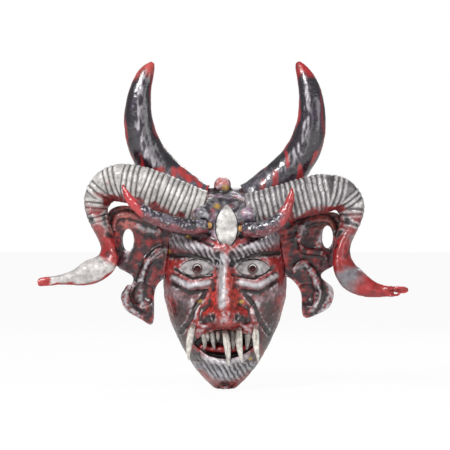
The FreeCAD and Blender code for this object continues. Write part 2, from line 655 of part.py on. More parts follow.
for side, sign in SIDES:
    outline, ridges = (EAR_RIGHT, RIDGE_RIGHT) if sign == RIGHT else (EAR_LEFT, RIDGE_LEFT)
    tall = size("ear_height") / EAR_DRAWN[0]
    wide = size("ear_reach") / EAR_DRAWN[1]
    hinge = Vector(sign * HALF, EAR_Y, 0)
    lean = Placement(hinge, Rotation(UP, sign * size("ear_lean"))) * Placement(hinge * -1, Rotation())
    thick = size("ear_thick")

    def on_ear(x, z, y=0.0):
        """A place on the ear, stretched from the drawn outline to the ear's own reach and height."""
        top = -10
        return Vector(sign * HALF + (x - sign * 77.5) * wide, EAR_Y + y, top + (z - top) * tall)

    edge = Part.BSplineCurve()
    edge.interpolate([on_ear(x, z, thick / 2) for x, z in outline], PeriodicFlag=True)
    plate = named("Part::Feature", f"ear_plate_{side}")
    plate.Shape = Part.Face(Part.Wire(edge.toShape())).extrude(BACK * -thick)
    pieces = [plate]
    for i, ridge in enumerate(ridges):
        drawn = [(*on_ear(x, z, -thick / 2 + 0.5), share, roll) for x, _, z, share, roll in ridge]
        pieces.append(Stations(drawn, Vector(*drawn[0][:3]), 1, str(RIDGE_HALF), 0.9).loft(f"ear_ridge_{side}_{i}"))
    carved = pieces[0]
    for i, ridge in enumerate(pieces[1:]):
        carved = add(f"ear_with_ridge_{side}_{i}", carved, [ridge])

    hole_x, hole_z = EAR_HOLE[side]
    hole = named("Part::Ellipse", f"ear_hole_ring_{side}")
    hole.setExpression("MajorRadius", "sizes.ear_hole_height / 2")
    hole.setExpression("MinorRadius", "sizes.ear_hole_width / 2")
    hole.Placement = Placement(on_ear(hole_x, hole_z, thick), Rotation(UP, Vector(1, 0, 0), BACK, "ZXY"))
    hole_cut = named("Part::Extrusion", f"ear_hole_{side}")
    hole_cut.Base = hole
    hole_cut.Dir = BACK * -1
    hole_cut.setExpression("LengthFwd", "3 * sizes.ear_thick")
    hole_cut.Solid = True
    scoop = sphere(f"ear_scoop_{side}", on_ear(sign * 101, -118, -thick / 2 - 12), "19")
    # the ear butts against the side of the block, and its tenon goes into a mortise there
    beside = carved_block(f"ear_room_{side}", block_levels(GAP, FACE_LEVELS))
    trimmed = cut(f"ear_beside_{side}", carved, [beside])
    trimmed = cut(f"ear_blade_{side}", trimmed, [hole_cut, scoop])

    tenon_half = thick / 2 - 2
    inner = sign * (0.95 * HALF - size("ear_tenon"))
    outer = sign * (HALF + 6)
    low = Vector(min(inner, outer), EAR_Y - tenon_half, -0.36 * HEIGHT)
    high = Vector(max(inner, outer), EAR_Y + tenon_half, -0.20 * HEIGHT)
    skin = Vector(GAP, GAP, GAP)
    tenon = box(f"ear_tenon_{side}", low, high)
    mortise = box(f"ear_mortise_{side}", low - skin, high + skin)
    keep(1, mortise)
    dowels = []
    dowel_holes = []
    for i, z in enumerate((-0.245 * HEIGHT, -0.315 * HEIGHT)):
        mouth_of_hole = Vector(sign * (0.95 * HALF - size("ear_tenon") / 2), 0, z)
        dowels.append(
            cylinder(f"ear_dowel_{side}_{i}", mouth_of_hole, BACK * -1, "sizes.dowel_dia / 2 - sizes.fit_gap",
                     "sizes.dowel_length")
        )
        dowel_holes.append(
            cylinder(f"ear_dowel_hole_{side}_{i}", mouth_of_hole, BACK * -1, "sizes.dowel_dia / 2",
                     "sizes.dowel_length + sizes.fit_gap")
        )
    for dowel_hole in dowel_holes:
        keep(2, dowel_hole)
    cut(f"ear_{side}", add(f"ear_whole_{side}", trimmed, [tenon]), dowel_holes)
    fuse(f"ear_dowels_{side}", dowels)

# ---------------------------------------------------------------- the face, put together
keep(4, slit)
keep(2, cylinder("hang_hole", Vector(), BACK * -1, "sizes.hang_hole_dia / 2", "sizes.hang_hole_depth"))
TIE_DOWN = 0.708
for side, sign in SIDES:
    start = Vector(sign * HALF, -size("tie_hole_inset"), CROWN - TIE_DOWN * HEIGHT)
    tie_hole = cylinder(
        f"tie_hole_{side}", start, Vector(-sign, 0, 0), "sizes.tie_hole_dia / 2", "sizes.face_width / 4"
    )
    nostril = cylinder(
        f"nostril_{side}", at(sign * 0.235, 1.42, 0.69), Vector(0, 0.5, 0.86), "sizes.nostril_dia / 2",
        "0.25 * sizes.nose_length",
    )
    keep(1, tie_hole)
    keep(3, nostril)

face = add("face_and_knob", block, [knob])
face = cut("face_hollowed", face, [hollow])
face = cut("face_with_mouth", face, [mouth])
face = add("face_and_gum", face, [gum])
for number, pieces in sorted(cuts.items()):
    face = cut("face_shell" if number == max(cuts) else f"face_cuts_{number}", face, pieces)

# ---------------------------------------------------------------- check and write
SUB_PARTS = ["face_shell", "forehead_stone"]
SUB_PARTS += [name for name, *_ in FRONT_FANGS + BACK_FANGS] + ["small_tooth_left", "small_tooth_right"]
for side, _ in SIDES:
    SUB_PARTS += [
        f"upright_horn_{side}", f"upright_core_{side}", f"ram_horn_{side}", f"ram_core_{side}",
        f"kid_horn_{side}", f"kid_peg_{side}", f"ear_{side}", f"ear_dowels_{side}", f"eye_{side}",
    ]

doc.recompute()
for thing in doc.Objects:
    if "Invalid" in thing.State or "Error" in thing.State:
        raise RuntimeError(f"{thing.Label} did not build: {thing.State}")

os.makedirs("parts", exist_ok=True)
for name in SUB_PARTS:
    part = doc.getObject(name)
    if part.Shape.isNull() or not part.Shape.isValid() or not part.Shape.Solids:
        raise RuntimeError(f"{name} has no valid solid")
    part.Shape.exportStep(f"parts/{name}.step")
    print(name, len(part.Shape.Solids), round(part.Shape.Volume))
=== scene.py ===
"""A carved and painted devil mask: a hollow wooden face with real horns, carved ears and bone fangs."""

import math

import bmesh
import bpy
import numpy as np
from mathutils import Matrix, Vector, noise


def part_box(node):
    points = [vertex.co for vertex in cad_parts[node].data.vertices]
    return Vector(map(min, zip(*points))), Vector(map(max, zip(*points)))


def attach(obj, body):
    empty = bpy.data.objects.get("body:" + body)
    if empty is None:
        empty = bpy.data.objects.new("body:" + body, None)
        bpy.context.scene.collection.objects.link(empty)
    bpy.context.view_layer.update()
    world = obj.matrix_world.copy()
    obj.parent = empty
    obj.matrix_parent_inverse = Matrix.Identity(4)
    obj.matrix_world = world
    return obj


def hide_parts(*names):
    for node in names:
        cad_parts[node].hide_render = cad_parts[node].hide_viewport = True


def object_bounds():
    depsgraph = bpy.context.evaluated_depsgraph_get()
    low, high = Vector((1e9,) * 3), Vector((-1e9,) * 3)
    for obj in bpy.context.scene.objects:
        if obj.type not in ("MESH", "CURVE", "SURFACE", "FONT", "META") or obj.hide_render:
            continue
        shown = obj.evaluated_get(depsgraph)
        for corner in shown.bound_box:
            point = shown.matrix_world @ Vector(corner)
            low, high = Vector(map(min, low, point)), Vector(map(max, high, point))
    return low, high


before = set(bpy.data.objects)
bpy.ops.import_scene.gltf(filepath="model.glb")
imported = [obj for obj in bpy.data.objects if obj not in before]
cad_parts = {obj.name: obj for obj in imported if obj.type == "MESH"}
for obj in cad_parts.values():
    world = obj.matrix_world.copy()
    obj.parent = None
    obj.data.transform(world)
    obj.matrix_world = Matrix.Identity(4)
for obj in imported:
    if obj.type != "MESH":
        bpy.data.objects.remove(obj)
cad_bounds = [list(corner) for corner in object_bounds()]
MM = 0.001
SIDES = (("left", -1), ("right", 1))

# ------------------------------------------------------------------ the carved face
# The face is one block of soft wood, hollowed behind and cut in front with gouges that leave shallow
# scoops. It is painted by hand in layers: black-red in the hollows, vermilion over it, and silver
# brushed over the high places, under a thin varnish. The hollows and cut folds are darkened further
# with painted shade. The back is left as bare, dark wood.
VERMILION = "#a3231f"
FOREHEAD_GREY = "#6a676e"
LILAC = "#a07f97"
ROSE = "#a8484c"
BLUE_BLACK = "#1d1620"
CRIMSON = "#8e1f24"
BROW_SILVER = "#8d8b92"
CHEEK_SILVER = "#86848a"
JAW_RED = "#9a2e2c"
CHEEK_SHADOW = "#1f0a10"
EYE_BAG_SILVER = "#b6b4b8"
BAG_SHADOW = "#2a0d14"
# painted shade along the lower lid crease
LOWER_LID_SHADE = "#17090d"
BROW_SHADOW = "#12070a"
FOLD_SHADOW = "#230a10"
# painted shade in the forehead folds
FOREHEAD_FOLD_SHADE = "#4a3a45"
NOSE_SALMON = "#bf3a30"
NOSE_TIP_RED = "#d1382f"
NOSTRIL_RED = "#c22f2a"
NOSE_SILVER = "#b9b7ba"
NOSTRIL_SHADE = "#100608"
LIP_RED = "#99201f"
CHIN_SILVER = "#96949a"
LOWER_LIP_SILVER = "#aaa8ac"
RIM_RED = "#a4241f"
KNOB_PINK = "#c2605b"
MOUTH_SHADE = "#2c070b"
GUM_RED = "#a01f1e"
DARK_WASH_AND_SHADE = "#14060a"
DRY_SILVER = "#cfccd0"
YELLOW_OCHRE = "#c49a3a"
BARE_WOOD = "#7a5530"
WOOD_GRAIN = "#5a3b20"
WOOD_VOXEL = 1.35      # mm, the finest step of the carved surface
SCOOP_WIDTH = 9        # mm, width of one gouge cut
SCOOP_DEPTH = 0.9      # mm


def linear(hex_colour):
    """An sRGB hex colour as linear red, green and blue."""
    parts = [int(hex_colour[i:i + 2], 16) / 255 for i in (1, 3, 5)]
    return np.array([c / 12.92 if c <= 0.04045 else ((c + 0.055) / 1.055) ** 2.4 for c in parts])


def carved_copy(node, voxel, rounds=2):
    """A closed, even mesh of a frame node's shape, ready to be carved finer."""
    bpy.ops.object.select_all(action="DESELECT")
    piece = bpy.data.objects.new(node + "_finished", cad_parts[node].data.copy())
    piece.data.materials.clear()
    bpy.context.scene.collection.objects.link(piece)
    mesh = bmesh.new()
    mesh.from_mesh(piece.data)
    bmesh.ops.remove_doubles(mesh, verts=mesh.verts, dist=1e-6)
    mesh.to_mesh(piece.data)
    mesh.free()
    piece.select_set(True)
    bpy.context.view_layer.objects.active = piece
    remesh = piece.modifiers.new("even", "REMESH")
    remesh.mode = "VOXEL"
    remesh.voxel_size = voxel * MM
    bpy.ops.object.modifier_apply(modifier=remesh.name)
    soft = piece.modifiers.new("soft", "SMOOTH")
    soft.factor, soft.iterations = 0.5, rounds
    bpy.ops.object.modifier_apply(modifier=soft.name)
    bpy.ops.object.shade_smooth()
    return piece


def read(piece):
    """The points in mm and their unit normals."""
    count = len(piece.data.vertices)
    points, normals = np.zeros(count * 3, np.float32), np.zeros(count * 3, np.float32)
    piece.data.vertices.foreach_get("co", points)
    piece.data.vertex_normals.foreach_get("vector", normals)
    return points.reshape(-1, 3) * 1000, normals.reshape(-1, 3)


def write(piece, points):
    """Puts points back, kept inside the box of the frame's shapes."""
    low, high = np.array(cad_bounds[0]), np.array(cad_bounds[1])
    inside = np.clip(points * MM, low, high).astype(np.float32)
    piece.data.vertices.foreach_set("co", inside.ravel())
    piece.data.update()


def rough(points, size, seed=0):
    """Soft noise from -1 to 1 at each point, with lumps of that size in mm."""
    shift = Vector((seed * 7.3, seed * 3.1, seed * 5.7))
    return np.array([noise.noise(Vector(p) / size + shift) for p in points])


def scoops(points, width, seed=0):
    """Gouge cuts: 0 in the middle of each cut, rising to about 1 on the crests between cuts."""
    shift = Vector((seed * 2.9, seed * 6.1, seed * 4.3))
    return np.array([noise.voronoi(Vector(p) / width + shift)[0][0] for p in points])


def away(points, line):
    """Distance in mm, seen from the front, from each point to a line of (x, z) places."""
    flat = points[:, (0, 2)]
    best = np.full(len(flat), 1e9)
    for a, b in zip(line[:-1], line[1:]):
        a, b = np.array(a, float), np.array(b, float)
        t = np.clip(((flat - a) @ (b - a)) / max((b - a) @ (b - a), 1e-9), 0, 1)
        best = np.minimum(best, np.linalg.norm(flat - (a + t[:, None] * (b - a)), axis=1))
    return best


def fade(distance, half, soft=0.5):
    """1 within half of a line, falling to 0 over the soft share of half beyond it."""
    return np.clip((half * (1 + soft) - distance) / (half * soft * 2), 0, 1)


def hollows(piece, points, normals, rounds=4):
    """How far each point lies below its surroundings, in mm, over a few mm around it."""
    edges = np.zeros(len(piece.data.edges) * 2, np.int32)
    piece.data.edges.foreach_get("vertices", edges)
    a, b = edges.reshape(-1, 2).T
    count = np.maximum(np.bincount(a, minlength=len(points)) + np.bincount(b, minlength=len(points)), 1)
    mean = points.astype(float).copy()
    for _ in range(rounds):
        total = np.stack([
            np.bincount(a, mean[b, i], len(points)) + np.bincount(b, mean[a, i], len(points))
            for i in range(3)
        ], axis=1)
        mean = total / count[:, None]
    return ((mean - points) * normals).sum(axis=1)


def brush(colours, cover, hex_colour):
    """Lays a coat over the colours where cover is more than 0."""
    cover = np.clip(cover, 0, 1)[:, None]
    colours[:] = colours * (1 - cover) + linear(hex_colour) * cover


def keep_paint(piece, colours):
    layer = piece.data.color_attributes.new("paint", "FLOAT_COLOR", "POINT")
    values = np.ones((len(colours), 4), np.float32)
    values[:, :3] = np.clip(colours, 0, 1)
    layer.data.foreach_set("color", values.ravel())


def add(tree, kind, inputs=None, **settings):
    """Adds a node, with its settings, its values and its links."""
    made = tree.nodes.new(kind)
    for name, value in settings.items():
        setattr(made, name, value)
    for name, value in (inputs or {}).items():
        if isinstance(value, bpy.types.NodeSocket):
            tree.links.new(value, made.inputs[name])
        else:
            made.inputs[name].default_value = value
    return made


def lacquer(name, roughness, fleck, streak, lift, coat=0.5):
    """Brushed enamel under varnish, with the paint held on the piece's points. fleck and streak are the
    sizes of the specks and brush marks, and lift is the height of the marks, all in mm."""
    material = bpy.data.materials.new(name)
    material.use_nodes = True
    tree = material.node_tree
    shader = tree.nodes["Principled BSDF"]
    place = add(tree, "ShaderNodeTexCoord").outputs["Object"]
    paint = add(tree, "ShaderNodeAttribute", attribute_name="paint").outputs["Color"]
    marks = add(tree, "ShaderNodeTexNoise", {
        "Vector": place, "Scale": 1000 / streak, "Detail": 6, "Roughness": 0.62})
    specks = add(tree, "ShaderNodeTexNoise", {"Vector": place, "Scale": 1000 / fleck, "Detail": 2})
    tone = add(tree, "ShaderNodeMapRange", {
        "Value": marks.outputs["Fac"], "From Min": 0.3, "From Max": 0.7, "To Min": 0.4, "To Max": 1.15})
    mixed = add(tree, "ShaderNodeVectorMath", {0: paint, "Scale": tone.outputs["Result"]}, operation="SCALE")
    tree.links.new(mixed.outputs["Vector"], shader.inputs["Base Color"])
    gloss = add(tree, "ShaderNodeMapRange", {
        "Value": specks.outputs["Fac"], "From Min": 0.35, "From Max": 0.65,
        "To Min": roughness - 0.12, "To Max": roughness + 0.14})
    tree.links.new(gloss.outputs["Result"], shader.inputs["Roughness"])
    low = add(tree, "ShaderNodeBump", {
        "Height": marks.outputs["Fac"], "Strength": 1.0, "Distance": lift * MM})
    high = add(tree, "ShaderNodeBump", {
        "Height": specks.outputs["Fac"], "Strength": 0.6, "Distance": lift * 0.4 * MM,
        "Normal": low.outputs["Normal"]})
    tree.links.new(high.outputs["Normal"], shader.inputs["Normal"])
    shader.inputs["Coat Weight"].default_value = coat
    shader.inputs["Coat Roughness"].default_value = 0.16
    return material


# hand-brushed enamel: streaks of uneven tone, small glossy glints where the varnish lies thick
painted_wood = lacquer("brushed_enamel_on_carved_wood", 0.42, 1.6, 7, 0.7, 0.45)

BROWS = (((-69, -50), (-50, -54), (-30, -62), (-11, -72)), ((66, -46), (48, -52), (28, -62), (9, -73)))
BROW_EDGES = (((-67, -69), (-40, -69), (-10, -77)), ((66, -66), (38, -68), (9, -79)))
LOWER_LIDS = (((-61, -86), (-40, -96), (-17, -92)), ((58, -84), (36, -96), (10, -92)))
EYE_BAGS = (((-64, -96), (-44, -106), (-20, -102)), ((62, -94), (40, -106), (16, -102)))
BAG_FOLDS = (((-64, -104), (-44, -115), (-22, -112)), ((62, -102), (42, -115), (20, -112)))
CHEEKS = (((-66, -112), (-52, -124), (-40, -126)), ((64, -112), (52, -124), (40, -126)))
SMILE_FOLDS = (
    ((-25, -116), (-36, -130), (-44, -150), (-56, -164)), ((25, -116), (36, -130), (44, -150), (55, -166)),
)
CHEEK_HOLLOWS = (((-54, -134), (-58, -156), (-52, -178)), ((54, -134), (58, -156), (52, -178)))
JAWS = (((-70, -128), (-64, -158), (-56, -186)), ((70, -128), (63, -158), (55, -186)))
FOREHEAD_FOLDS = (
    ((-60, -40), (-40, -46), (-16, -56)), ((58, -38), (40, -46), (18, -58)),
    ((-52, -26), (-36, -34), (-20, -42)), ((54, -24), (38, -34), (20, -44)),
    ((-8, -66), (-10, -78)), ((8, -66), (9, -80)),
)
NOSE_RIDGE = ((-4, -69), (-4, -100), (-4, -128))
NOSTRILS = (((-21, -147), (-17, -145)), ((17, -145), (21, -147)))
UPPER_LIP = ((-42, -152), (-20, -155), (0, -160), (20, -155), (42, -154))
LOWER_LIP = ((-38, -192), (-18, -198), (0, -200), (20, -198), (38, -190))
CHIN_RIM = ((-30, -216), (-14, -230), (0, -234), (14, -230), (30, -218))
YELLOW_DABS = (
    (1, 15, 4), (-36, 13, 6), (-10, -8, 4), (31, -35, 2.5), (-39, -27, 5), (-45, -46, 3), (-70, -64, 3),
    (42, -16, 3.5), (20, -125, 2.5), (31, -196, 2.5), (-30, -125, 2.5),
)

face = carved_copy("face_shell", WOOD_VOXEL)
points, normals = read(face)
front = np.clip(-normals[:, 1] * 1.4 + 0.35, 0, 1)
outside = (normals[:, 1] < 0.25) & (points[:, 1] < -1)
# the gouge's scoops, then folds cut with a narrow one; a cut below 0 leaves the wood standing
cuts = scoops(points, SCOOP_WIDTH) * SCOOP_DEPTH - SCOOP_DEPTH
cuts += rough(points, 5, 1) * 0.35
for lines, half, deep in (
    (BROW_EDGES, 3, 1.8), (LOWER_LIDS, 2.2, 1.4), (BAG_FOLDS, 2.6, 1.8), (SMILE_FOLDS, 3, 2.4),
    (FOREHEAD_FOLDS, 3, 1.6), (BROWS, 9, -1.8), (EYE_BAGS, 3.2, -1.6), (CHEEKS, 8, -1.6),
    ((UPPER_LIP,), 3, -0.8), ((LOWER_LIP,), 4, -1.4),
):
    for line in lines:
        share = np.clip(1 - away(points, line) / (half * 1.5), 0, 1)
        cuts -= deep * share * share * (3 - 2 * share) * front
brow_cover = sum(fade(away(points, line), 9) for line in BROWS)
chin_cover = fade(np.abs(points[:, 2] + 210), 13) * (np.abs(points[:, 0]) < 36)
# short strokes of a small gouge make the brows and chin rough
strokes = np.sin(points[:, 0] * 0.95 + points[:, 2] * 0.55 + 2.2 * rough(points, 11, 2))
cuts += strokes * 0.55 * np.clip(brow_cover + chin_cover, 0, 1) * front
write(face, points + normals * (cuts * outside)[:, None])
points, normals = read(face)
deep_places = hollows(face, points, normals)
spots = rough(points, 9, 3)
fine = rough(points, 3.2, 4)
x, z = points[:, 0], points[:, 2]
broken = spots * 0.5 + fine * 0.35
colours = np.tile(linear(VERMILION), (len(points), 1))
forehead = np.clip((z + 52) / 10 + broken, 0, 1) * (np.abs(x) < 72)
brush(colours, forehead, FOREHEAD_GREY)
# lilac, rose and blue-black show through the grey of the forehead in patches
brush(colours, forehead * np.clip(rough(points, 15, 5) * 3 - 0.3, 0, 0.8), LILAC)
brush(colours, forehead * np.clip(rough(points, 12, 6) * 3 - 0.9, 0, 0.8), ROSE)
brush(colours, forehead * np.clip(rough(points, 10, 8) * 3.4 - 0.3, 0, 0.85), BLUE_BLACK)
brush(colours, np.clip((np.abs(x) - 66) / 8 + broken * 0.6, 0, 1), CRIMSON)
# silver on the brows, cheeks and eye bags, red on the jaws, and painted shade in the cheek hollows, under
# the eye bags, along the lower lids, under the brow edges, in the smile folds and in the forehead folds
for lines, half, hex_colour, strength in (
    (BROWS, 9, BROW_SILVER, 0.9), (CHEEKS, 8, CHEEK_SILVER, 0.7), (JAWS, 8, JAW_RED, 0.9),
    (CHEEK_HOLLOWS, 11, CHEEK_SHADOW, 0.9), (EYE_BAGS, 4, EYE_BAG_SILVER, 0.95),
    (BAG_FOLDS, 4, BAG_SHADOW, 0.95),
    (LOWER_LIDS, 2.6, LOWER_LID_SHADE, 1), (BROW_EDGES, 4, BROW_SHADOW, 1), (SMILE_FOLDS, 4, FOLD_SHADOW, 0.95),
    (FOREHEAD_FOLDS, 2.6, FOREHEAD_FOLD_SHADE, 0.8),
):
    for line in lines:
        brush(colours, fade(away(points, line) + broken * half * 0.5, half) * strength, hex_colour)
for sign in (-1, 1):
    nose_side = ((sign * 4, -95), (sign * 13, -120), (sign * 17, -138))
    brush(colours, fade(away(points, nose_side) + broken * 4, 8), NOSE_SALMON)
brush(colours, fade(away(points, ((-14, -118), (-17, -140))) + broken * 3, 8), NOSE_TIP_RED)
brush(colours, fade(away(points, ((3, -154), (23, -136))) + broken * 2, 4.5), NOSTRIL_RED)
brush(colours, fade(away(points, NOSE_RIDGE) + broken * 3, 5) * 0.95, NOSE_SILVER)
# painted shade in the nostrils
for line in NOSTRILS:
    brush(colours, fade(away(points, line), 6.5), NOSTRIL_SHADE)
brush(colours, fade(away(points, UPPER_LIP) + broken * 2, 4.5), LIP_RED)
brush(colours, fade(np.abs(z + 211) + broken * 6, 14) * (np.abs(x) < 46), CHIN_SILVER)
brush(colours, fade(away(points, LOWER_LIP) + broken * 2, 5) * 0.8, LOWER_LIP_SILVER)
brush(colours, fade(away(points, CHIN_RIM) + broken * 3, 6), RIM_RED)
brush(colours, fade(np.hypot(x + 3, z - 24), 9), KNOB_PINK)
# painted shade inside the mouth, and the gum that carries the small teeth
in_mouth = (np.abs(x) < 44) & (z < -152) & (z > -200) & (points[:, 1] > -52)
brush(colours, in_mouth * 1.0, MOUTH_SHADE)
brush(colours, in_mouth * fade(np.abs(z + 183), 4), GUM_RED)
# a dark wash in the low places, deepened into painted shade, and silver dragged over the crests
brush(colours, np.clip(deep_places * 4 + 0.1, 0, 0.93), DARK_WASH_AND_SHADE)
brush(colours, np.clip(-deep_places * 2.4 - 0.34 + fine * 0.6, 0, 0.75) * front * (~in_mouth), DRY_SILVER)
for dab_x, dab_z, half in YELLOW_DABS:
    brush(colours, fade(np.hypot(x - dab_x, (z - dab_z) * 1.4) + fine * 2, half) * 0.9, YELLOW_OCHRE)
bare = np.clip((normals[:, 1] - 0.1) * 4, 0, 1)
brush(colours, bare, BARE_WOOD)
brush(colours, bare * np.clip(np.sin(x * 0.8 + 3 * rough(points, 30, 7)) * 0.4, 0, 1), WOOD_GRAIN)
keep_paint(face, colours)
face.data.materials.append(painted_wood)
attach(face, "root")
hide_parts("face_shell")

# ------------------------------------------------------------------ the dark board behind the mouth, painted shade
# A thin strip of wood, bent to the curve of the hollow, sits behind the breathing slit. It is coloured
# nearly black-red as painted shade: a dark sheet standing where there is only shade between the teeth.
SHADE_BOARD_RED = "#4a0c10"
BOARD_WIDTH, BOARD_HEIGHT, BOARD_THICK, BOARD_MIDDLE = 70, 34, 1.6, -171

points, normals = read(face)
behind = (normals[:, 1] > 0.5) & (np.abs(points[:, 0]) < 38) & (np.abs(points[:, 2] - BOARD_MIDDLE) < 18)
behind &= points[:, 1] < -8
bend = np.polyfit(points[behind, 0], points[behind, 1], 2)
bpy.ops.object.select_all(action="DESELECT")
bpy.ops.mesh.primitive_grid_add(
    x_subdivisions=28, y_subdivisions=14, size=1, rotation=(math.pi / 2, 0, 0),
    location=(0, 0, BOARD_MIDDLE * MM))
board = bpy.context.active_object
board.name = "mouth_shade_board"
board.scale = (BOARD_WIDTH * MM, BOARD_HEIGHT * MM, 1)
bpy.ops.object.transform_apply(location=True, rotation=True, scale=True)
places, _ = read(board)
places[:, 1] = np.polyval(bend, places[:, 0]) + 1 + BOARD_THICK / 2
write(board, places)
wall = board.modifiers.new("wall", "SOLIDIFY")
wall.thickness, wall.offset = BOARD_THICK * MM, 0
bpy.ops.object.modifier_apply(modifier=wall.name)
bpy.ops.object.mode_set(mode="EDIT")
bpy.ops.mesh.select_all(action="SELECT")
bpy.ops.mesh.normals_make_consistent(inside=False)
bpy.ops.object.mode_set(mode="OBJECT")
places, _ = read(board)
# the whole board is painted shade, nearly black with dark red patches
colours = np.tile(linear(MOUTH_SHADE), (len(places), 1))
brush(colours, np.clip(rough(places, 6, 9) * 2, 0, 0.7), SHADE_BOARD_RED)
keep_paint(board, colours)
board.data.materials.append(painted_wood)
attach(board, "root")

# ------------------------------------------------------------------ the forehead stone
# One almond-shaped piece of pearl shell, ground to a low dome and glued into a recess. Its face is
# pale and glossy, a little cloudy, and darker in a narrow band round the edge.
PEARL_WHITE = "#d6d3cf"
PEARL_CLOUD = "#a9a5a6"
DARK_EDGE_BAND = "#5d545a"
# shell polished by hand: cloudy white, with a clear sharp gloss
pearl = lacquer("polished_pearl_shell", 0.26, 2.5, 12, 0.25, 0.8)
stone = carved_copy("forehead_stone", 0.7)
points, normals = read(stone)
low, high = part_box("forehead_stone")
points += normals * (rough(points, 6, 11) * 0.35)[:, None]
write(stone, points)
colours = np.tile(linear(PEARL_WHITE), (len(points), 1))
brush(colours, np.clip(rough(points, 7, 12) * 1.6, 0, 0.6), PEARL_CLOUD)
middle_x, middle_z = 500 * (low.x + high.x), 500 * (low.z + high.z)
rim = np.hypot((points[:, 0] - middle_x) / 13.5, (points[:, 2] - middle_z) / 28.5)
# darker in a narrow band round the edge
brush(colours, np.clip((rim + rough(points, 5, 13) * 0.15 - 0.82) * 6, 0, 0.9), DARK_EDGE_BAND)
keep_paint(stone, colours)
stone.data.materials.append(pearl)
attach(stone, "root")
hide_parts("forehead_stone")

# ------------------------------------------------------------------ the eyes
# Each eye is a curved piece of shell, ground thin and set behind the lids, with a hole bored for the
# wearer to look through. A flat plug, nearly black with a red depth, fills the hole as painted shade for
# the inside of the hole.
PUPIL_SHADE_DARK = "#2a0308"
PUPIL_SHADE_RED = "#5c0a10"
SHELL_GREY = "#a9a4a3"
SHELL_CLOUD = "#6e676c"
PUPIL_RING = "#3b0a10"
LID_OVERHANG_SHADE = "#3a2529"
EYE_MIDDLES = {"left": (-34, -85), "right": (34, -85)}
# ground shell: grey-white and only half glossy
shell_white = lacquer("ground_shell", 0.35, 2, 9, 0.2, 0.6)
# the dark of the pupil hole: painted shade, almost black with a red depth, under a gloss
pupil_shade = bpy.data.materials.new("dark_red_pupil_shade")
pupil_shade.use_nodes = True
plug_surface = pupil_shade.node_tree.nodes["Principled BSDF"]
plug_surface.inputs["Roughness"].default_value = 0.15
tint = add(pupil_shade.node_tree, "ShaderNodeTexNoise", {
    "Vector": add(pupil_shade.node_tree, "ShaderNodeTexCoord").outputs["Object"], "Scale": 400})
shades = add(pupil_shade.node_tree, "ShaderNodeMix", {0: tint.outputs["Fac"]}, data_type="RGBA")
shades.inputs[6].default_value = (*linear(PUPIL_SHADE_DARK), 1)
shades.inputs[7].default_value = (*linear(PUPIL_SHADE_RED), 1)
pupil_shade.node_tree.links.new(shades.outputs[2], plug_surface.inputs["Base Color"])
for side, sign in SIDES:
    node = f"eye_{side}"
    low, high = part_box(node)
    eyeball = carved_copy(node, 0.55, 1)
    points, normals = read(eyeball)
    pupil_x, pupil_z = EYE_MIDDLES[side]
    colours = np.tile(linear(SHELL_GREY), (len(points), 1))
    brush(colours, np.clip(rough(points, 5, 14) * 1.8, 0, 0.7), SHELL_CLOUD)
    from_pupil = np.hypot(points[:, 0] - pupil_x, points[:, 2] - pupil_z)
    brush(colours, np.clip((7.4 - from_pupil) / 1.4, 0, 1), PUPIL_RING)
    # painted shade where the lids overhang the top and bottom of the eye
    edge = np.minimum((points[:, 2] - low.z * 1000), (high.z * 1000 - points[:, 2]))
    brush(colours, np.clip((3.2 - edge) / 3, 0, 0.85), LID_OVERHANG_SHADE)
    keep_paint(eyeball, colours)
    eyeball.data.materials.append(shell_white)
    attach(eyeball, "root")
    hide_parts(node)
    bpy.ops.object.select_all(action="DESELECT")
    # a flat plug of painted shade in the pupil hole
    bpy.ops.mesh.primitive_cylinder_add(
        vertices=32, radius=4.25 * MM, depth=1.6 * MM, rotation=(math.pi / 2, 0, 0),
        location=(pupil_x * MM, (low.y + high.y) / 2, pupil_z * MM))
    pupil_plug = bpy.context.active_object
    pupil_plug.name = f"pupil_shade_plug_{side}"
    bpy.ops.object.transform_apply(location=True, rotation=True, scale=True)
    round_edge = pupil_plug.modifiers.new("ground_edge", "BEVEL")
    round_edge.width, round_edge.segments = 0.5 * MM, 3
    bpy.ops.object.modifier_apply(modifier=round_edge.name)
    bpy.ops.object.shade_smooth_by_angle(angle=math.radians(40))
    pupil_plug.data.materials.append(pupil_shade)
    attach(pupil_plug, "root")

# ------------------------------------------------------------------ the upright horns
# Two cow horns, scraped smooth and pushed over wooden cores. They are painted nearly black with a
# purple tint, red along the sides and at the tips, and varnished until they shine.
HORN_BLACK = "#1c1320"
HORN_PURPLE = "#2c1634"
HORN_SIDE_RED = "#a11a20"
HORN_BACK_RED = "#7d1519"
HORN_HIGHLIGHT = "#c9c3cb"
HORN_ROOT_GREY = "#4f4853"
HORN_PATCH_RED = "#b52a28"
LEFT_TIP_SALMON = "#bf4a44"
RIGHT_TIP_RED = "#a3161c"
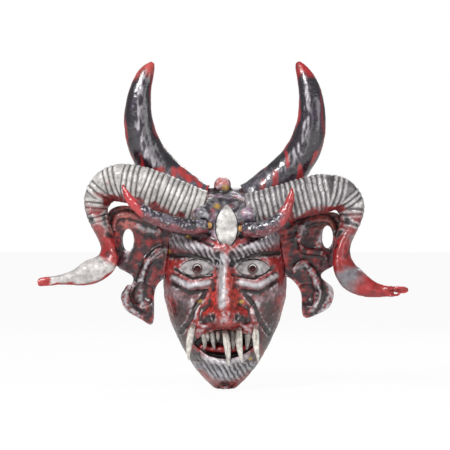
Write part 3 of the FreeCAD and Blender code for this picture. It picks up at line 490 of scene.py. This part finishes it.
# scraped horn under thick varnish: long smooth lumps and hard highlights
cow_horn = lacquer("varnished_cow_horn", 0.34, 2.2, 14, 0.9, 0.9)
for side, sign in SIDES:
    node = f"upright_horn_{side}"
    horn = carved_copy(node, 1.3)
    points, normals = read(horn)
    lumps = rough(points * (1, 1, 0.4), 9, 21 + sign) * 0.8 + rough(points, 4, 22) * 0.25
    points += normals * lumps[:, None]
    write(horn, points)
    x, z = points[:, 0] * sign, points[:, 2]
    patch = rough(points * (1, 1, 0.35), 10, 23 + sign)
    grain = rough(points * (1, 1, 0.3), 3.5, 24)
    colours = np.tile(linear(HORN_BLACK), (len(points), 1))
    brush(colours, np.clip(patch * 2 - 0.3, 0, 0.8), HORN_PURPLE)
    side_turn = np.abs(normals[:, 0]) + patch * 0.35
    brush(colours, np.clip((side_turn - 0.74) * 5, 0, 0.95), HORN_SIDE_RED)
    brush(colours, np.clip(normals[:, 1] * 3, 0, 0.9), HORN_BACK_RED)
    # a painted highlight: a pale band runs up the middle of the front, broken by the grain
    streak = np.clip(1 - np.abs(normals[:, 0] + 0.12 * sign + grain * 0.4) / 0.26, 0, 1)
    brush(colours, streak * (normals[:, 1] < -0.6) * np.clip(grain * 2 + 0.35, 0, 0.9), HORN_HIGHLIGHT)
    brush(colours, np.clip((42 - z) / 16 + patch, 0, 0.8), HORN_ROOT_GREY)
    brush(colours, np.clip((patch - 0.18) * 5, 0, 0.8) * (z < 60), HORN_PATCH_RED)
    tip_colour = LEFT_TIP_SALMON if sign < 0 else RIGHT_TIP_RED
    brush(colours, np.clip((z - 146) / 12 + patch, 0, 0.95), tip_colour)
    keep_paint(horn, colours)
    horn.data.materials.append(cow_horn)
    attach(horn, "root")
    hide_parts(node)

# ------------------------------------------------------------------ the ram horns
# Two ram horns that curl outwards and down over the ears. The growth ribs stand up across the front
# and are dry-brushed silver, with painted shade in the grooves between them; the smooth backs and
# undersides are painted red, with patches of painted shade under the first turn.
LIT_LEFT_RIB_SILVER = "#b9b5b2"
SHADED_RIGHT_RIB_SILVER = "#8f8a8c"
RAM_RED = "#a01a1d"
GROOVE_SHADE = "#2b2328"
CREST_WHITE = "#dedbd8"
LEG_RED = "#8c1519"
LEG_BLACK = "#160a12"
LEFT_TIP_WHITE = "#c4bfbd"
RIGHT_TIP_GREY = "#777277"
TIP_END_RED = "#b01e20"
UNDERSIDE_RED = "#8a1a1d"
UNDERSIDE_SHADE = "#2a0a10"
RIB_STEP = 6.4         # mm from rib to rib
RIB_HEIGHT = 1.5       # mm
RAM_LINES = {
    "left": (
        (-27, -53, -10), (-47, -54, -4), (-76, -54, 8), (-104, -53, 17), (-126, -49, 20), (-145, -43, 15),
        (-156, -39, 2), (-158, -38, -15), (-152, -39, -34), (-144, -42, -53), (-143, -48, -70),
        (-156, -56, -85),
        (-181, -63, -95), (-207, -69, -99), (-228, -73, -104),
    ),
    "right": (
        (27, -53, -14), (49, -54, -10), (77, -54, -3), (103, -53, 4), (126, -49, 8), (144, -44, 4),
        (154, -40, -8), (155, -39, -24), (149, -40, -42), (144, -44, -60), (145, -49, -78), (154, -55, -95),
        (172, -61, -107), (196, -67, -112), (224, -72, -111),
    ),
}


def along(points, line):
    """For each point, how far along a line in space its nearest place is, and the line's length, in mm."""
    line = np.array(line, float)
    best, place = np.full(len(points), 1e9), np.zeros(len(points))
    start = 0
    for a, b in zip(line[:-1], line[1:]):
        step = b - a
        length = np.linalg.norm(step)
        t = np.clip(((points - a) @ step) / (step @ step), 0, 1)
        gap = points - (a + t[:, None] * step)
        distance = np.linalg.norm(gap, axis=1)
        nearer = distance < best
        best[nearer] = distance[nearer]
        place[nearer] = (start + t * length)[nearer]
        start += length
    return place, start


# dry-brushed paint on ribs: pale crests, dark grooves, a low sheen
ram_paint = lacquer("dry_brushed_ram_horn", 0.44, 2, 8, 0.8, 0.4)
for side, sign in SIDES:
    node = f"ram_horn_{side}"
    horn = carved_copy(node, 1.05)
    points, normals = read(horn)
    place, length = along(points, RAM_LINES[side])
    wobble = rough(points, 22, 31 + sign) * 1.6
    band = np.clip((length * 0.60 - place) / 22, 0, 1) * np.clip(place / 12, 0, 1)
    facing = np.clip(-normals[:, 1] * 1.3 + normals[:, 2] * 0.5 + 0.45, 0, 1)
    wave = np.abs(np.sin(math.pi * (place + wobble) / RIB_STEP))
    lift = (wave ** 0.8 - 0.75) * RIB_HEIGHT * band * (0.35 + 0.65 * facing)
    lift += rough(points, 5, 32) * 0.4
    points += normals * lift[:, None]
    write(horn, points)
    patch = rough(points, 12, 33 + sign)
    fine = rough(points, 3, 34)
    # the same silver on both horns, painted lighter on the left as lit and darker on the right as shaded
    pale = LIT_LEFT_RIB_SILVER if sign < 0 else SHADED_RIGHT_RIB_SILVER
    colours = np.tile(linear(RAM_RED), (len(points), 1))
    silver = np.clip((facing - 0.42) * 4 + patch * 0.8, 0, 1)
    silver *= np.clip((length * 0.62 - place) / 14, 0, 1)
    brush(colours, silver, pale)
    # painted shade in the grooves between the ribs
    brush(colours, silver * np.clip((0.62 - wave) * 2.6, 0, 0.92) * band, GROOVE_SHADE)
    brush(colours, silver * np.clip((wave - 0.85) * 5 + fine, 0, 0.6) * band, CREST_WHITE)
    leg = np.clip((place - length * 0.46) / 14, 0, 1) * np.clip((length * 0.74 - place) / 14, 0, 1)
    brush(colours, leg * np.clip(patch * 2 + 0.45, 0, 0.9), LEG_RED)
    brush(colours, leg * np.clip(patch * -3 - 0.35, 0, 0.9), LEG_BLACK)
    tip = np.clip((place - length * 0.71 + patch * 6) / 8, 0, 1)
    if sign < 0:
        brush(colours, tip * np.clip((normals[:, 2] + 0.65 + patch * 0.4) * 4, 0, 1), LEFT_TIP_WHITE)
    else:
        brush(colours, tip * fade(np.abs(place - length * 0.74) + patch * 9, 16) * facing, RIGHT_TIP_GREY)
    brush(colours, np.clip((place - length + 16 + patch * 8) / 6, 0, 1), TIP_END_RED)
    low_side = np.clip((-normals[:, 2] - 0.35 + patch * 0.5) * 4, 0, 1) * (place < length * 0.5)
    brush(colours, low_side, UNDERSIDE_RED)
    # painted shade in dark patches on the underside
    brush(colours, low_side * np.clip(fine * 3, 0, 0.7), UNDERSIDE_SHADE)
    keep_paint(horn, colours)
    horn.data.materials.append(ram_paint)
    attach(horn, "root")
    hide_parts(node)

# ------------------------------------------------------------------ the small horns
# Two short kid horns on pegs, over the brows. Their roots are left dark grey, and the red paint comes
# down from the tips in brushed streaks.
KID_GREY = "#33293a"
KID_PALE = "#6f6873"
KID_BLACK = "#120a10"
KID_GLINT = "#b9b4ba"
KID_UNDER_RED = "#7c1a22"
KID_TIP_RED = "#b3262a"
# a little horn under thick varnish: it glitters along its top
kid_paint = lacquer("varnished_kid_horn", 0.36, 2, 9, 0.7, 0.8)
for side, sign in SIDES:
    node = f"kid_horn_{side}"
    horn = carved_copy(node, 0.9)
    points, normals = read(horn)
    points += normals * (rough(points, 6, 41 + sign) * 0.7 + rough(points, 2.6, 42) * 0.25)[:, None]
    write(horn, points)
    x, z = points[:, 0] * sign, points[:, 2]
    patch = rough(points, 8, 43 + sign)
    fine = rough(points, 2.8, 44)
    colours = np.tile(linear(KID_GREY), (len(points), 1))
    brush(colours, np.clip(patch * 2.4, 0, 0.8), KID_PALE)
    brush(colours, np.clip(-patch * 2 - 0.2, 0, 0.8), KID_BLACK)
    brush(colours, np.clip(fine * 3 - 0.6, 0, 0.8) * (normals[:, 1] < -0.4), KID_GLINT)
    brush(colours, np.clip(normals[:, 2] * -2 + patch, 0, 0.7), KID_UNDER_RED)
    reach = np.clip((x - (98 if sign < 0 else 66)) / 9 + patch * 1.2, 0, 0.95)
    brush(colours, reach, KID_TIP_RED)
    keep_paint(horn, colours)
    horn.data.materials.append(kid_paint)
    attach(horn, "root")
    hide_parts(node)

# ------------------------------------------------------------------ the ears
# Each ear is sawn from a board, carved into leafy lobes with raised ridges, and held by a tenon and two
# dowels. It is painted dark red, nearly black in the hollows with a wash deepened into painted shade,
# with silver dragged along the ridges.
EAR_RED = "#8f1a1e"
EAR_BLACK = "#1d0a18"
EAR_VERMILION = "#b3302d"
RIDGE_SHADOW = "#190b14"
RIDGE_SILVER = "#a6a2a6"
EAR_PINK = "#c06a63"
EAR_RUST = "#8d3b2c"
EAR_MAROON = "#4d1226"
EAR_WASH_AND_SHADE = "#12060b"
EAR_DRY_SILVER = "#c9c5c8"
EAR_BARE_BACK = "#6f4c2c"
EAR_RIDGES = {
    "left": (
        ((-75, -62), (-96, -78), (-104, -100), (-106, -119), (-102, -131)),
        ((-112, -30), (-100, -36), (-84, -40)),
        ((-119, -58), (-124, -74), (-130, -86)), ((-115, -106), (-127, -120), (-122, -134), (-106, -147)),
    ),
    "right": (
        ((87, -87), (100, -81), (110, -94), (116, -112), (116, -125), (109, -137)), ((90, -47), (97, -35)),
        ((116, -56), (121, -40)), ((128, -100), (132, -117), (127, -131), (119, -140)),
    ),
}
# the same enamel as the face on a coarser board
ear_wood = lacquer("brushed_enamel_on_carved_board", 0.4, 1.8, 8, 0.8, 0.5)
for side, sign in SIDES:
    node = f"ear_{side}"
    ear = carved_copy(node, 1.1)
    points, normals = read(ear)
    front = np.clip(-normals[:, 1] * 1.4, 0, 1)
    lift = scoops(points, 8, 51) * 1.2 - 1.2 + rough(points, 4, 52) * 0.3
    for line in EAR_RIDGES[side]:
        share = np.clip(1 - away(points, line) / 7, 0, 1)
        lift += 1.3 * share * share * (3 - 2 * share)
    write(ear, points + normals * (lift * front)[:, None])
    points, normals = read(ear)
    deep_places = hollows(ear, points, normals)
    patch = rough(points, 9, 53 + sign)
    fine = rough(points, 3, 54)
    colours = np.tile(linear(EAR_RED), (len(points), 1))
    brush(colours, np.clip(patch * 3 + 0.25, 0, 0.92), EAR_BLACK)
    brush(colours, np.clip(-patch * 3 - 0.5, 0, 0.8), EAR_VERMILION)
    for line in EAR_RIDGES[side]:
        near = away(points, line) + patch * 3
        brush(colours, fade(near - 3, 7) * (fade(near, 4) < 0.2) * 0.8, RIDGE_SHADOW)
        brush(colours, fade(near, 3.4) * front * np.clip(fine * 2 + 0.75, 0, 0.95), RIDGE_SILVER)
    if sign < 0:
        brush(colours, fade(np.hypot(points[:, 0] + 122, points[:, 2] + 20) + patch * 5, 15), EAR_PINK)
    else:
        brush(colours, fade(np.hypot(points[:, 0] - 128, points[:, 2] + 24) + patch * 5, 13), EAR_RUST)
    root_side = np.hypot(points[:, 0] - sign * 131, points[:, 2] + 78)
    brush(colours, fade(root_side + patch * 5, 12), EAR_MAROON)
    # a dark wash in the hollows, deepened into painted shade
    brush(colours, np.clip(deep_places * 4 + 0.12, 0, 0.93), EAR_WASH_AND_SHADE)
    brush(colours, np.clip(-deep_places * 2 - 0.4 + fine * 0.4, 0, 0.6) * front, EAR_DRY_SILVER)
    brush(colours, np.clip(normals[:, 1] * 4 - 0.6, 0, 1), EAR_BARE_BACK)
    keep_paint(ear, colours)
    ear.data.materials.append(ear_wood)
    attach(ear, "root")
    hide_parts(node)

# ------------------------------------------------------------------ the fangs and small teeth
# Each tooth is a splinter of bone, ground to a taper and glued into a hole in the lip. The front ones
# are scraped white, the back ones are painted greyer as shade deeper in the mouth, and all are stained
# where they meet the gum.
FRONT_BONE = "#ded9d0"
SHADED_BACK_BONE = "#a8a39e"
BONE_GRAIN = "#8f857a"
GUM_STAIN = "#6b3a2e"
# bone ground on a stone: fine lengthwise marks, hardly any gloss
bone = lacquer("ground_bone", 0.46, 1.2, 5, 0.5, 0.25)
for node in sorted(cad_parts):
    if "fang" not in node and "tooth" not in node:
        continue
    tooth = carved_copy(node, 0.55, 1)
    points, normals = read(tooth)
    seed = 61 + sum(ord(letter) for letter in node) % 17
    points += normals * (rough(points * (1, 1, 0.35), 3, seed) * 0.45)[:, None]
    write(tooth, points)
    top = points[:, 2].max()
    # the back teeth are painted greyer as shade deeper in the mouth
    colours = np.tile(linear(FRONT_BONE if node.startswith("front") else SHADED_BACK_BONE), (len(points), 1))
    brush(colours, np.clip(rough(points * (1, 1, 0.25), 2.6, seed + 1) * 2, 0, 0.5), BONE_GRAIN)
    near_gum = (points[:, 2] - top + 9) / 7 + rough(points, 3, seed + 2) * 0.5
    brush(colours, np.clip(near_gum, 0, 0.85), GUM_STAIN)
    keep_paint(tooth, colours)
    tooth.data.materials.append(bone)
    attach(tooth, "root")
    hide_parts(node)

# ------------------------------------------------------------------ the cores, pegs and dowels
# The horns are pushed over turned wooden cores and pegs, and dowels hold the ears. They are bare pine,
# hidden once the mask is put together.
PINE_PALE = "#c69a63"
PINE_DARK = "#a6763f"
# planed pine: dull, with soft yellow and brown rings
pine = bpy.data.materials.new("bare_pine")
pine.use_nodes = True
grain = pine.node_tree
place = add(grain, "ShaderNodeTexCoord").outputs["Object"]
rings = add(grain, "ShaderNodeTexWave", {"Vector": place, "Scale": 90, "Distortion": 5, "Detail": 3})
tones = add(grain, "ShaderNodeMix", {0: rings.outputs["Fac"]}, data_type="RGBA")
tones.inputs[6].default_value = (*linear(PINE_PALE), 1)
tones.inputs[7].default_value = (*linear(PINE_DARK), 1)
grain.links.new(tones.outputs[2], grain.nodes["Principled BSDF"].inputs["Base Color"])
grain.nodes["Principled BSDF"].inputs["Roughness"].default_value = 0.7
for node, piece in sorted(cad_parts.items()):
    if "core" in node or "peg" in node or "dowels" in node:
        piece.data.materials.clear()
        piece.data.materials.append(pine)

# ------------------------------------------------------------------ the pale floor and the soft studio light
# A plain pale sweep, one broad soft lamp above on the left, and weaker ones on the right and behind.
FLOOR_Z = cad_bounds[0][2] - 0.0005


def pale_sweep():
    material = bpy.data.materials.new("pale_paper_sweep")
    material.use_nodes = True
    tree = material.node_tree
    shader = tree.nodes["Principled BSDF"]
    shader.inputs["Base Color"].default_value = (0.9, 0.9, 0.9, 1)
    shader.inputs["Roughness"].default_value = 0.9
    glow = add(tree, "ShaderNodeEmission", {"Color": (1, 1, 1, 1), "Strength": 1.0})
    ray = add(tree, "ShaderNodeLightPath")
    share = add(tree, "ShaderNodeMath", {0: ray.outputs["Is Camera Ray"], 1: 0.93}, operation="MULTIPLY")
    both = add(tree, "ShaderNodeMixShader", {0: share.outputs[0], 1: shader.outputs[0], 2: glow.outputs[0]})
    tree.links.new(both.outputs[0], tree.nodes["Material Output"].inputs["Surface"])
    return material


bpy.ops.object.select_all(action="DESELECT")
bpy.ops.mesh.primitive_plane_add(size=30, location=(0, 0, FLOOR_Z))
floor = bpy.context.active_object
floor.name = "floor"
floor.data.materials.append(pale_sweep())

world = bpy.data.worlds.new("studio")
bpy.context.scene.world = world
world.use_nodes = True
sky = world.node_tree
sky.nodes.clear()
path = add(sky, "ShaderNodeLightPath")
seen = add(sky, "ShaderNodeMath", {0: path.outputs["Is Camera Ray"], 1: path.outputs["Is Transmission Ray"]},
           operation="MAXIMUM")
lit = add(sky, "ShaderNodeBackground", {"Color": (1, 1, 1, 1), "Strength": 0.36})
plain = add(sky, "ShaderNodeBackground", {"Color": (1, 1, 1, 1), "Strength": 1.0})
mixed = add(sky, "ShaderNodeMixShader", {0: seen.outputs[0], 1: lit.outputs[0], 2: plain.outputs[0]})
add(sky, "ShaderNodeOutputWorld", {"Surface": mixed.outputs[0]})

# name, place in m, power in W and width in m
for name, place, power, width in (
    ("key", (-0.7, -1.5, 1.1), 36, 0.6),
    ("fill", (1.2, -1.2, 0.2), 8, 0.9),
    ("rear", (0.3, 1.2, 0.9), 8, 0.8),
):
    lamp = bpy.data.lights.new(name, "AREA")
    lamp.energy, lamp.size = power, width
    holder = bpy.data.objects.new(name, lamp)
    holder.location = place
    holder.rotation_euler = (Vector((0, 0, -0.03)) - Vector(place)).to_track_quat("-Z", "Y").to_euler()
    bpy.context.scene.collection.objects.link(holder)

DISTANCE, SEEN_WIDTH, SEEN_MIDDLE = 3.0, 0.5625, -0.03125
camera = bpy.data.cameras.new("camera")
camera.lens = camera.sensor_width * DISTANCE / SEEN_WIDTH
eye = bpy.data.objects.new("camera", camera)
eye.location = (0, -DISTANCE, SEEN_MIDDLE)
eye.rotation_euler = (math.pi / 2, 0, 0)
bpy.context.scene.collection.objects.link(eye)
bpy.context.scene.camera = eye
bpy.context.scene.view_settings.view_transform = "Standard"
